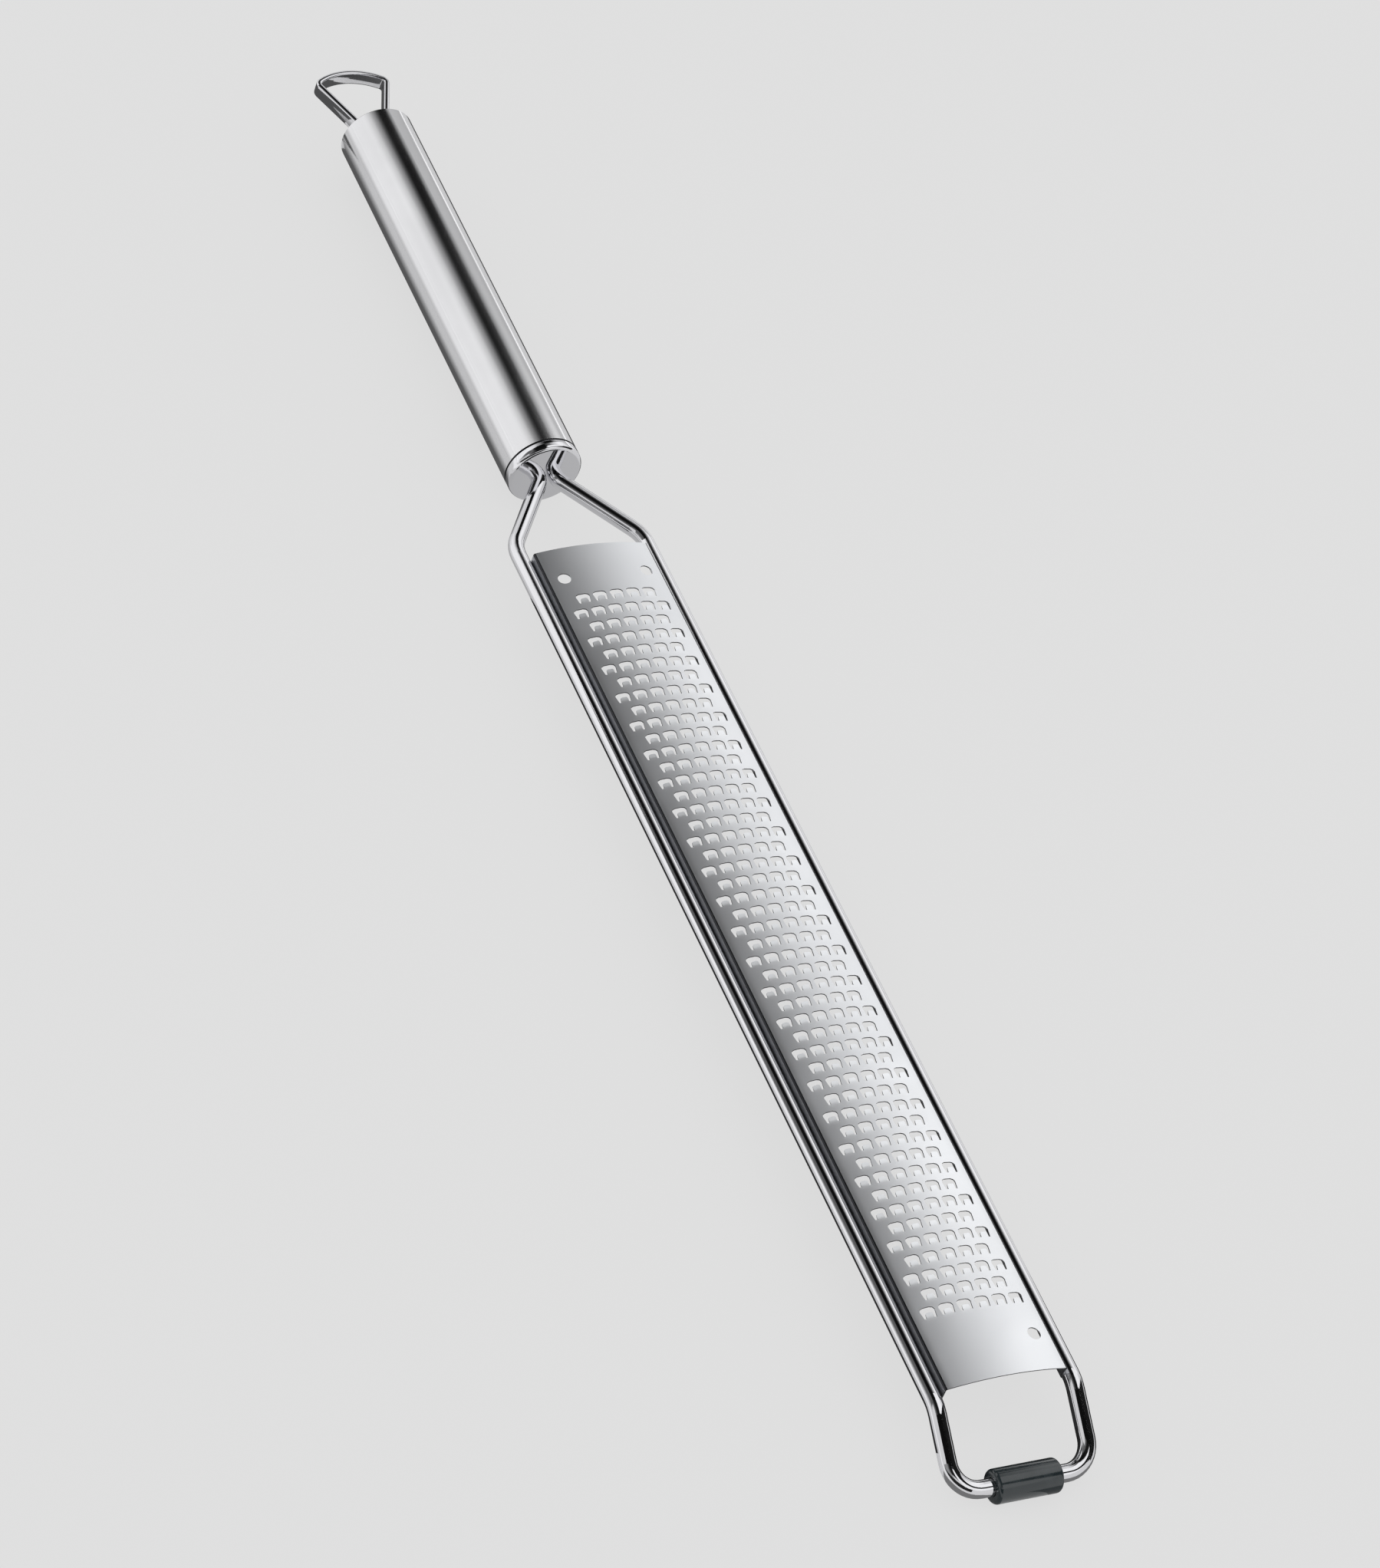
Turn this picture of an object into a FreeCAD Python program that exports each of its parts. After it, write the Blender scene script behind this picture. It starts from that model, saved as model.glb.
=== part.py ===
"""Citrus zester: a long grating blade held in a bent wire frame on a round steel grip.

Millimetres. X runs across the blade, +Y from the foot to the hanging loop, +Z up, out of the
grating face. The origin lies under the middle of the zester, level with the underside of its foot.
"""

import FreeCAD, Part
import math
import os

import Sketcher
from FreeCAD import Vector

NODE_NAMES = (
    "handle_tube",
    "front_end_cap",
    "rear_end_cap",
    "hanging_loop",
    "frame_wire",
    "grating_blade",
    "foot_sleeve",
)

# Driving dimensions: name, millimetres or degrees, what it measures
SIZES = (
    # Grip
    ("grip_length", 122.0, "end face of the front cap to the rim of the tube"),
    ("tube_diameter", 19.0, "outside of the grip tube"),
    ("tube_wall", 1.0, "wall of the grip tube"),
    ("rim_bevel", 0.5, "bevel around the tube's outer rim"),
    ("collar_length", 2.6, "part of the front cap that stands out of the tube"),
    ("collar_bevel", 0.5, "bevel around the front cap's end face"),
    ("groove_width", 0.5, "line between collar and tube"),
    ("groove_depth", 0.4, "depth of that line"),
    ("front_plug_depth", 14.0, "front cap inside the tube"),
    ("rear_plug_recess", 0.8, "rim of the tube to the rear cap"),
    ("rear_plug_depth", 9.0, "rear cap inside the tube"),
    ("joint_clearance", 0.05, "room around each leg in its cap"),
    # Hanging loop, bent from flat strip
    ("strip_width", 3.8, "strip, across the plane of the loop"),
    ("strip_thickness", 1.45, "strip, in the plane of the loop"),
    ("loop_leg_offset", 2.3, "middle of the grip to the middle of a leg in its slot"),
    ("loop_leg_angle", 20.7, "spread of each leg, degrees from the grip"),
    ("loop_reach", 23.0, "rim of the tube to the top of the loop"),
    ("loop_top_radius", 16.2, "outside of the loop's arched top"),
    ("loop_corner_radius", 2.4, "outside of the loop's corners"),
    ("loop_root_radius", 2.0, "outside of the bend where a leg leaves its slot"),
    # Wire frame
    ("wire_diameter", 4.0, "round wire of the frame"),
    ("leg_offset", 2.3, "middle of the grip to the middle of a wire leg"),
    ("leg_depth", 10.0, "wire leg inside the front cap"),
    ("neck_start", 1.8, "end face of the cap to the first bend"),
    ("neck_radius", 5.0, "middle of the wire in the first bend"),
    ("shoulder_distance", 22.2, "end face of the cap to the shoulder bend"),
    ("shoulder_radius", 9.0, "middle of the wire in the shoulder bend"),
    ("foot_distance", 275.3, "end face of the cap to the foot bend"),
    ("foot_bend_radius", 8.0, "middle of the wire in the foot bend"),
    ("foot_angle", 28.0, "foot below the rails, degrees"),
    ("foot_length", 18.9, "foot bend to the middle of the crossbar"),
    ("foot_corner_radius", 6.5, "middle of the wire in the foot's corners"),
    # Sleeve on the crossbar
    ("sleeve_length", 16.0, "sleeve along the crossbar"),
    ("sleeve_diameter", 7.7, "outside of the sleeve"),
    ("sleeve_bevel", 0.5, "bevel around the sleeve's ends"),
    # Grating blade
    ("blade_start", 27.8, "end face of the front cap to the blade"),
    ("blade_length", 246.0, "blade along the rails"),
    ("blade_width", 30.0, "blade outside its flanges, between the rails"),
    ("blade_thickness", 0.6, "sheet"),
    ("blade_edge_height", 3.2, "middle of the rails to the top of the flanges"),
    ("blade_crown", 1.6, "rise of the blade's middle over its edges"),
    ("flange_reach", 0.5, "flange below the middle of the rails"),
    ("flange_bend_radius", 1.1, "outside of the bend between blade and flange"),
    ("hole_diameter", 3.2, "round hole in a corner of the blade"),
    ("hole_inset", 9.4, "end of the blade to the middle of a round hole"),
    # Teeth
    ("tooth_pitch", 4.33, "tooth to tooth in a row"),
    ("row_pitch", 4.48, "row to row"),
    ("tooth_inset", 17.8, "end of the blade to the root of the nearest teeth"),
    ("opening_length", 2.85, "root of a tooth to the far edge of its opening"),
    ("opening_width", 3.5, "opening at its far edge"),
    ("opening_root_width", 2.9, "opening at the tooth's root"),
    ("tooth_width", 1.9, "raised tooth"),
    ("tooth_length", 1.7, "raised tooth, seen from above"),
    ("tooth_rise", 0.6, "tip of the tooth over its root"),
    ("tooth_thickness", 0.35, "tooth at its root, ground to an edge at its tip"),
)

TEETH_IN_WIDE_ROW = 6

# The crown is rolled in equal flats, each as wide as the blade allows for its teeth
CROWN_FLATS = TEETH_IN_WIDE_ROW + 1

# Outer corners of the blade that have a round hole: side across, True at the grip's end
HOLE_CORNERS = ((-1, True), (1, True), (1, False))

doc = FreeCAD.newDocument("CitrusZester")


def add_dimension_sheet():
    """Put every driving dimension in one sheet, each under its own name."""
    sheet = doc.addObject("Spreadsheet::Sheet", "Dims")
    for row, (name, value, meaning) in enumerate(SIZES, start=1):
        sheet.set(f"A{row}", name)
        sheet.set(f"B{row}", str(value))
        sheet.set(f"C{row}", meaning)
        sheet.setAlias(f"B{row}", name)
    doc.recompute()
    return sheet


dims = add_dimension_sheet()

# Places that several pieces share, as formulas of the sheet
GRIP_RADIUS = "Dims.tube_diameter / 2"
BORE_RADIUS = "(Dims.tube_diameter / 2 - Dims.tube_wall)"
TUBE_START = "(Dims.collar_length + Dims.groove_width)"
RAIL_OFFSET = "(Dims.blade_width / 2 + Dims.wire_diameter / 2)"
FOOT_DROP = "(Dims.foot_length * sin(Dims.foot_angle))"
FOOT_TIP = "(Dims.foot_distance + Dims.foot_length * cos(Dims.foot_angle) + Dims.sleeve_diameter / 2)"
LOOP_TOP = "(Dims.grip_length + Dims.loop_reach)"
CAP_FACE_Y = f"(({FOOT_TIP} - {LOOP_TOP}) / 2)"
AXIS_HEIGHT = f"({FOOT_DROP} + Dims.sleeve_diameter / 2)"
CROWN_RADIUS = "((Dims.blade_width ^ 2 / 4 + Dims.blade_crown ^ 2) / (2 * Dims.blade_crown))"
CROWN_CENTRE = f"(Dims.blade_edge_height + Dims.blade_crown - {CROWN_RADIUS})"
LOOP_SLOT_WIDTH = "(Dims.strip_thickness + 2 * Dims.joint_clearance)"
LOOP_SLOT_HEIGHT = "(Dims.strip_width + 2 * Dims.joint_clearance)"
LEG_BORE_RADIUS = "(Dims.wire_diameter / 2 + Dims.joint_clearance)"
ON_AXIS = "0"


def value_of(formula):
    """Work out a formula of the sheet as a plain number."""
    result = dims.evalExpression(formula)
    return float(getattr(result, "Value", result))


def place_on_axis(piece, along="0", up="0"):
    """Place a piece from the centre of the front cap's end face, on the axis of the grip."""
    piece.setExpression("Placement.Base.y", f"{CAP_FACE_Y} + {along}")
    piece.setExpression("Placement.Base.z", f"{AXIS_HEIGHT} + {up}")


def origin_plane(body, role):
    """Find one of a body's own origin planes."""
    return next(item for item in body.Origin.OriginFeatures if item.Role == role)


def new_sketch(body, name, role):
    """Start a sketch on one of a body's origin planes."""
    sketch = body.newObject("Sketcher::SketchObject", name)
    sketch.AttachmentSupport = (origin_plane(body, role), [""])
    sketch.MapMode = "FlatFace"
    return sketch


def fix_point(sketch, geometry, point, name, across, along):
    """Hold a sketch point at two formulas of the sheet, measured from the sketch's origin."""
    for kind, formula in (("DistanceX", across), ("DistanceY", along)):
        constraint = Sketcher.Constraint(kind, -1, 1, geometry, point, value_of(formula))
        index = sketch.addConstraint(constraint)
        sketch.renameConstraint(index, f"{name}_{kind[-1]}")
        sketch.setExpression(f"Constraints.{name}_{kind[-1]}", formula)


def draw_polygon(sketch, corners):
    """Draw a closed outline of straight lines through named corners."""
    points = [Vector(value_of(across), value_of(along), 0) for _, across, along in corners]
    lines = [
        sketch.addGeometry(Part.LineSegment(start, end), False)
        for start, end in zip(points, points[1:] + points[:1])
    ]
    for line, following in zip(lines, lines[1:] + lines[:1]):
        sketch.addConstraint(Sketcher.Constraint("Coincident", line, 2, following, 1))
    for line, (name, across, along) in zip(lines, corners):
        fix_point(sketch, line, 1, name, across, along)


def turned_body(name, corners):
    """Turn a half section about the axis of the grip; corners are radius and distance along it."""
    body = doc.addObject("PartDesign::Body", name)
    sketch = new_sketch(body, f"{name}_section", "XY_Plane")
    draw_polygon(sketch, corners)
    turned = body.newObject("PartDesign::Revolution", f"{name}_turned")
    turned.Profile = sketch
    turned.ReferenceAxis = (sketch, ["V_Axis"])
    turned.Angle = 360.0
    doc.recompute()
    return body


def make_handle_tube():
    """Brushed steel tube, open at the loop's end, with a bevelled rim."""
    tube = turned_body(
        "handle_tube",
        (
            ("front_bore", BORE_RADIUS, TUBE_START),
            ("front_outside", GRIP_RADIUS, TUBE_START),
            ("bevel_start", GRIP_RADIUS, "Dims.grip_length - Dims.rim_bevel"),
            ("bevel_end", f"{GRIP_RADIUS} - Dims.rim_bevel", "Dims.grip_length"),
            ("rim_bore", BORE_RADIUS, "Dims.grip_length"),
        ),
    )
    place_on_axis(tube)
    return tube


def cut_bores(body, name, plane, centre_formula, radius_formula, depth_formula):
    """Cut two round blind bores, one each side of the axis, from a plane into the body."""
    sketch = new_sketch(body, f"{name}_plan", plane)
    for side, formula in (("left", f"-{centre_formula}"), ("right", centre_formula)):
        circle = Part.Circle(Vector(value_of(formula), 0, 0), Vector(0, 0, 1), value_of(radius_formula))
        index = sketch.addGeometry(circle, False)
        fix_point(sketch, index, 3, f"{side}_bore", formula, ON_AXIS)
        radius = sketch.addConstraint(Sketcher.Constraint("Radius", index, value_of(radius_formula)))
        sketch.renameConstraint(radius, f"{side}_radius")
        sketch.setExpression(f"Constraints.{side}_radius", radius_formula)
    pocket = body.newObject("PartDesign::Pocket", name)
    pocket.Profile = sketch
    pocket.setExpression("Length", depth_formula)
    doc.recompute()
    return pocket


def make_front_end_cap():
    """Polished plug with a collar, a fine groove against the tube and bores for the wire legs."""
    plug_end = f"({TUBE_START} + Dims.front_plug_depth)"
    groove_radius = f"({GRIP_RADIUS} - Dims.groove_depth)"
    cap = turned_body(
        "front_end_cap",
        (
            ("face_middle", ON_AXIS, ON_AXIS),
            ("bevel_start", f"{GRIP_RADIUS} - Dims.collar_bevel", ON_AXIS),
            ("bevel_end", GRIP_RADIUS, "Dims.collar_bevel"),
            ("collar_back", GRIP_RADIUS, "Dims.collar_length"),
            ("groove_floor", groove_radius, "Dims.collar_length"),
            ("groove_end", groove_radius, TUBE_START),
            ("plug_shoulder", BORE_RADIUS, TUBE_START),
            ("plug_edge", BORE_RADIUS, plug_end),
            ("plug_middle", ON_AXIS, plug_end),
        ),
    )
    solid_volume = cap.Shape.Volume
    pocket = cut_bores(cap, "leg_bores", "XZ_Plane", "Dims.leg_offset", LEG_BORE_RADIUS, "Dims.leg_depth")
    if pocket.Shape.Volume > solid_volume - 1:
        pocket.Reversed = True
        doc.recompute()
    place_on_axis(cap)
    return cap


def make_rear_end_cap():
    """Plug inside the rim of the tube, with a slot for each leg of the loop."""
    outer_face = "(Dims.grip_length - Dims.rear_plug_recess)"
    inner_face = f"({outer_face} - Dims.rear_plug_depth)"
    cap = turned_body(
        "rear_end_cap",
        (
            ("inner_middle", ON_AXIS, inner_face),
            ("inner_edge", BORE_RADIUS, inner_face),
            ("outer_edge", BORE_RADIUS, outer_face),
            ("outer_middle", ON_AXIS, outer_face),
        ),
    )
    sketch = new_sketch(cap, "leg_slots_plan", "XY_Plane")
    half_slot = f"{LOOP_SLOT_WIDTH} / 2"
    for side, sign in (("left", "-"), ("right", "")):
        low = f"{sign}Dims.loop_leg_offset - {half_slot}"
        high = f"{sign}Dims.loop_leg_offset + {half_slot}"
        draw_polygon(
            sketch,
            (
                (f"{side}_low", low, inner_face),
                (f"{side}_low_far", high, inner_face),
                (f"{side}_high_far", high, outer_face),
                (f"{side}_high", low, outer_face),
            ),
        )
    slots = cap.newObject("PartDesign::Pocket", "leg_slots")
    slots.Profile = sketch
    slots.Midplane = True
    slots.setExpression("Length", LOOP_SLOT_HEIGHT)
    doc.recompute()
    place_on_axis(cap)
    return cap


def bend_centre_line(points, radii):
    """Join straight runs through the points by tangent arcs, one radius for each inner point."""
    edges = []
    start = points[0]
    for before, corner, after, radius in zip(points, points[1:], points[2:], radii):
        inward = (corner - before).normalize()
        outward = (after - corner).normalize()
        half_turn = inward.getAngle(outward) / 2
        reach = radius * math.tan(half_turn)
        entry = corner - inward * reach
        leave = corner + outward * reach
        towards_centre = (outward - inward).normalize()
        sagitta = radius / math.cos(half_turn) - radius
        middle = corner + towards_centre * sagitta
        edges.append(Part.LineSegment(start, entry).toShape())
        edges.append(Part.Arc(entry, middle, leave).toShape())
        start = leave
    edges.append(Part.LineSegment(start, points[-1]).toShape())
    return Part.Wire(edges)


def sweep_section(section, path, area, name):
    """Sweep a closed section along a path, and make sure that the solid has the stock's volume."""
    solid = path.makePipeShell([section], True, False)
    expected = area * path.Length
    if abs(solid.Volume - expected) > 0.01 * expected:
        raise ValueError(f"{name}: {solid.Volume:.1f} mm3 where its stock has {expected:.1f} mm3")
    return solid


def add_shape(name, shape):
    """Add a solid that is bent or patterned by its own function."""
    piece = doc.addObject("Part::Feature", name)
    piece.Shape = shape
    place_on_axis(piece)
    return piece


def make_hanging_loop():
    """Fan-shaped eye of flat strip: two spread legs, small corners and an arched top."""
    half_strip = dims.strip_thickness / 2
    rim = dims.grip_length
    slope = math.tan(math.radians(dims.loop_leg_angle))
    top_radius = dims.loop_top_radius - half_strip
    corner_radius = dims.loop_corner_radius - half_strip
    root_radius = dims.loop_root_radius - half_strip
    top_centre = rim + dims.loop_reach - dims.loop_top_radius

    # A leg leaves its slot straight and spreads just above the cap
    slot_end = rim - dims.rear_plug_recess - dims.rear_plug_depth
    root_reach = root_radius * math.tan(math.radians(dims.loop_leg_angle) / 2)
    root = Vector(dims.loop_leg_offset, rim - dims.rear_plug_recess + root_reach, 0)
    along_leg = Vector(slope, 1, 0).normalize()
    into_loop = Vector(-along_leg.y, along_leg.x, 0)

    # The corner's centre lies one corner radius inside both the leg and the arched top
    track = root + into_loop * corner_radius
    towards_top = Vector(0, top_centre, 0) - track
    nearest = towards_top.dot(along_leg)
    miss = (towards_top - along_leg * nearest).Length
    corner_centre = track + along_leg * (nearest + math.sqrt((top_radius - corner_radius) ** 2 - miss**2))
    leg_end = corner_centre - into_loop * corner_radius
    outwards = (corner_centre - Vector(0, top_centre, 0)).normalize()
    top_start = corner_centre + outwards * corner_radius
    corner_middle = corner_centre + (outwards - into_loop).normalize() * corner_radius

    def mirrored(point):
        return Vector(-point.x, point.y, point.z)

    right_leg = bend_centre_line((Vector(root.x, slot_end, 0), root, leg_end), (root_radius,))
    right_side = right_leg.Edges + [Part.Arc(leg_end, corner_middle, top_start).toShape()]
    apex = Vector(0, top_centre + top_radius, 0)
    top = Part.Arc(top_start, apex, mirrored(top_start)).toShape()
    left_leg = bend_centre_line(
        (mirrored(leg_end), mirrored(root), Vector(-root.x, slot_end, 0)), (root_radius,)
    )
    left_corner = Part.Arc(mirrored(top_start), mirrored(corner_middle), mirrored(leg_end)).toShape()
    path = Part.Wire(right_side + [top, left_corner] + left_leg.Edges)

    half_width = dims.strip_width / 2
    corners = [
        Vector(root.x + across * half_strip, slot_end, up * half_width)
        for across, up in ((-1, -1), (1, -1), (1, 1), (-1, 1), (-1, -1))
    ]
    area = dims.strip_width * dims.strip_thickness
    return add_shape("hanging_loop", sweep_section(Part.makePolygon(corners), path, area, "hanging_loop"))


def make_frame_wire():
    """One bent wire: two legs out of the cap, shoulders, rails, and a foot bent down to a crossbar."""
    rail_offset = value_of(RAIL_OFFSET)
    foot_y = -value_of("Dims.foot_distance + Dims.foot_length * cos(Dims.foot_angle)")
    foot_z = -value_of(FOOT_DROP)
    left_side = [
        Vector(-dims.leg_offset, dims.leg_depth, 0),
        Vector(-dims.leg_offset, -dims.neck_start, 0),
        Vector(-rail_offset, -dims.shoulder_distance, 0),
        Vector(-rail_offset, -dims.foot_distance, 0),
        Vector(-rail_offset, foot_y, foot_z),
    ]
    right_side = [Vector(-point.x, point.y, point.z) for point in reversed(left_side)]
    left_radii = [dims.neck_radius, dims.shoulder_radius, dims.foot_bend_radius, dims.foot_corner_radius]
    path = bend_centre_line(left_side + right_side, left_radii + left_radii[::-1])

    radius = dims.wire_diameter / 2
    section = Part.Wire([Part.makeCircle(radius, left_side[0], Vector(0, 1, 0))])
    return add_shape("frame_wire", sweep_section(section, path, math.pi * radius**2, "frame_wire"))


def make_foot_sleeve():
    """Dark sleeve pushed over the crossbar, with bevelled ends."""
    outside = "Dims.sleeve_diameter / 2"
    bevelled = f"({outside} - Dims.sleeve_bevel)"
    end = "Dims.sleeve_length / 2"
    sleeve = turned_body(
        "foot_sleeve",
        (
            ("near_bore", LEG_BORE_RADIUS, f"-{end}"),
            ("near_face", bevelled, f"-{end}"),
            ("near_outside", outside, f"-{end} + Dims.sleeve_bevel"),
            ("far_outside", outside, f"{end} - Dims.sleeve_bevel"),
            ("far_face", bevelled, end),
            ("far_bore", LEG_BORE_RADIUS, end),
        ),
    )
    sleeve.Placement = FreeCAD.Placement(Vector(), FreeCAD.Rotation(Vector(0, 0, 1), -90))
    along = "-(Dims.foot_distance + Dims.foot_length * cos(Dims.foot_angle))"
    place_on_axis(sleeve, along, f"-{FOOT_DROP}")
    return sleeve


def crown_outline(half_width, radius):
    """List the corners of a blade outline: straight sides, an open foot line and a crown of flats."""
    corners = [("left_foot", f"-{half_width}", "-Dims.flange_reach")]
    for fold in range(CROWN_FLATS + 1):
        across = f"({half_width} * {2 * fold - CROWN_FLATS} / {CROWN_FLATS})"
        corners.append((f"fold_{fold}", across, f"{CROWN_CENTRE} + sqrt({radius} ^ 2 - {across} ^ 2)"))
    corners.append(("right_foot", half_width, "-Dims.flange_reach"))
    return corners


def round_long_edges(body, name, radius_formula, across):
    """Round the two bends that run the body's length at one distance each side of its middle."""
    base = body.Tip
    length = base.Shape.BoundBox.YLength
    names = []
    for number, edge in enumerate(base.Shape.Edges, start=1):
        box = edge.BoundBox
        runs_along = abs(box.YLength - length) < 1e-6
        if runs_along and abs(abs(box.Center.x) - across) < 1e-6 and box.Center.z > 0:
            names.append(f"Edge{number}")
    rounded = body.newObject("PartDesign::Fillet", name)
    rounded.Base = (base, names)
    rounded.setExpression("Radius", radius_formula)
    doc.recompute()


def make_blade_sheet():
    """Sheet crowned in flats, with a flange turned down each side and round holes in its corners."""
    sheet = doc.addObject("PartDesign::Body", "blade_sheet")
    half_width = "(Dims.blade_width / 2)"
    inner_half = "(Dims.blade_width / 2 - Dims.blade_thickness)"
    inner_radius = f"({CROWN_RADIUS} - Dims.blade_thickness)"
    outside = new_sketch(sheet, "blade_outside", "XZ_Plane")
    draw_polygon(outside, crown_outline(half_width, CROWN_RADIUS))
    pad = sheet.newObject("PartDesign::Pad", "blade_length")
    pad.Profile = outside
    pad.setExpression("Length", "Dims.blade_length")
    doc.recompute()

    inside = new_sketch(sheet, "blade_inside", "XZ_Plane")
    draw_polygon(inside, crown_outline(inner_half, inner_radius))
    hollow = sheet.newObject("PartDesign::Pocket", "blade_hollow")
    hollow.Profile = inside
    hollow.Type = "ThroughAll"
    hollow.Midplane = True
    doc.recompute()

    inner_bend = "Dims.flange_bend_radius - Dims.blade_thickness"
    round_long_edges(sheet, "outer_bends", "Dims.flange_bend_radius", value_of(half_width))
    round_long_edges(sheet, "inner_bends", inner_bend, value_of(inner_half))

    plan = new_sketch(sheet, "corner_holes_plan", "XY_Plane")
    for number, (side, at_grip) in enumerate(HOLE_CORNERS, start=1):
        across = f"{side} * Dims.tooth_pitch * {(TEETH_IN_WIDE_ROW - 1) / 2}"
        along = "-Dims.hole_inset" if at_grip else "-(Dims.blade_length - Dims.hole_inset)"
        centre = Vector(value_of(across), value_of(along), 0)
        hole = plan.addGeometry(Part.Circle(centre, Vector(0, 0, 1), dims.hole_diameter / 2), False)
        fix_point(plan, hole, 3, f"hole_{number}", across, along)
        index = plan.addConstraint(Sketcher.Constraint("Radius", hole, dims.hole_diameter / 2))
        plan.renameConstraint(index, f"hole_{number}_radius")
        plan.setExpression(f"Constraints.hole_{number}_radius", "Dims.hole_diameter / 2")
    holes = sheet.newObject("PartDesign::Pocket", "corner_holes")
    holes.Profile = plan
    holes.Type = "ThroughAll"
    holes.Midplane = True
    doc.recompute()
    return sheet


def tooth_places():
    """List the root of each tooth on the blade; rows of six and of five take turns."""
    places = []
    toothed_length = dims.blade_length - 2 * dims.tooth_inset
    row_pairs = int(round((toothed_length / dims.row_pitch + 1) / 2))
    for row in range(2 * row_pairs):
        count = TEETH_IN_WIDE_ROW - 1 if row % 2 == 0 else TEETH_IN_WIDE_ROW
        root = -dims.tooth_inset - row * dims.row_pitch
        for column in range(count):
            across = (column - (count - 1) / 2) * dims.tooth_pitch
            places.append(Vector(across, root, 0))
    return places


def opening_cutter():
    """Upright prism in the shape of one opening, with its root line at the origin."""
    root_half = dims.opening_root_width / 2
    half = dims.opening_width / 2
    outline = [
        Vector(-root_half, 0, 0),
        Vector(-half, dims.opening_length, 0),
        Vector(half, dims.opening_length, 0),
        Vector(root_half, 0, 0),
        Vector(-root_half, 0, 0),
    ]
    height = dims.blade_edge_height + dims.blade_crown
    return Part.Face(Part.makePolygon(outline)).extrude(Vector(0, 0, height))


def raised_tooth():
    """One tooth: a wedge that rises from its root towards the grip, ground to an edge."""
    half = dims.tooth_width / 2
    root_top = Vector(-half, 0, dims.tooth_thickness / 2)
    root_bottom = Vector(-half, 0, -dims.tooth_thickness / 2)
    tip = Vector(-half, dims.tooth_length, dims.tooth_rise + dims.tooth_thickness / 2)
    section = Part.Face(Part.makePolygon([root_bottom, tip, root_top, root_bottom]))
    return section.extrude(Vector(dims.tooth_width, 0, 0))


def make_grating_blade():
    """The crowned sheet with an opening and a raised tooth at each place of the pattern."""
    sheet = make_blade_sheet()
    places = tooth_places()
    mid_radius = value_of(CROWN_RADIUS) - dims.blade_thickness / 2
    crown_centre = value_of(CROWN_CENTRE)

    opening = opening_cutter()
    openings = doc.addObject("Part::Feature", "tooth_openings")
    openings.Shape = Part.Compound([opening.translated(place) for place in places])

    tooth = raised_tooth()
    raised = []
    for place in places:
        tilt = math.asin(place.x / mid_radius)
        seat = Vector(place.x, place.y, crown_centre + mid_radius * math.cos(tilt))
        turn = FreeCAD.Rotation(Vector(0, 1, 0), math.degrees(tilt))
        raised.append(tooth.transformed(FreeCAD.Placement(seat, turn).toMatrix()))
    teeth = doc.addObject("Part::Feature", "raised_teeth")
    teeth.Shape = Part.Compound(raised)

    perforated = doc.addObject("Part::Cut", "perforated_sheet")
    perforated.Base = sheet
    perforated.Tool = openings
    blade = doc.addObject("Part::Fuse", "grating_blade")
    blade.Base = perforated
    blade.Tool = teeth
    blade.Refine = False
    place_on_axis(blade, "-Dims.blade_start")
    return blade


def check_document(pieces):
    """Stop when any object failed to build or any piece isn't one valid solid."""
    doc.recompute()
    for item in doc.Objects:
        if "Invalid" in item.State or "Error" in item.State:
            raise RuntimeError(f"{item.Name} did not build: {item.State}")
    for piece in pieces:
        shape = piece.Shape
        if shape.isNull() or not shape.isValid() or len(shape.Solids) != 1:
            raise RuntimeError(f"{piece.Label} is not one valid solid")


def write_pieces(pieces):
    """Write each piece to its own file, named after the piece."""
    os.makedirs("parts", exist_ok=True)
    for piece in pieces:
        piece.Shape.exportStep(f"parts/{piece.Label}.step")
        box = piece.Shape.BoundBox
        print(f"{piece.Label}: {box.XLength:.1f} x {box.YLength:.1f} x {box.ZLength:.1f} mm")


def main():
    """Build every piece of the zester and write it out."""
    pieces = [
        make_handle_tube(),
        make_front_end_cap(),
        make_rear_end_cap(),
        make_hanging_loop(),
        make_frame_wire(),
        make_grating_blade(),
        make_foot_sleeve(),
    ]
    for piece, name in zip(pieces, NODE_NAMES):
        piece.Label = name
    check_document(pieces)
    write_pieces(pieces)


main()
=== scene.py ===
"""Looks of a long-handled citrus zester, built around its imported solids.

Metres, in the frame of the solids: X runs across the blade, +Y from the foot to the hanging
loop and +Z up, out of the grating face. Sizes of the zester's own pieces are in millimetres.
"""

import logging
import math
from dataclasses import dataclass
from enum import Enum

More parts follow.
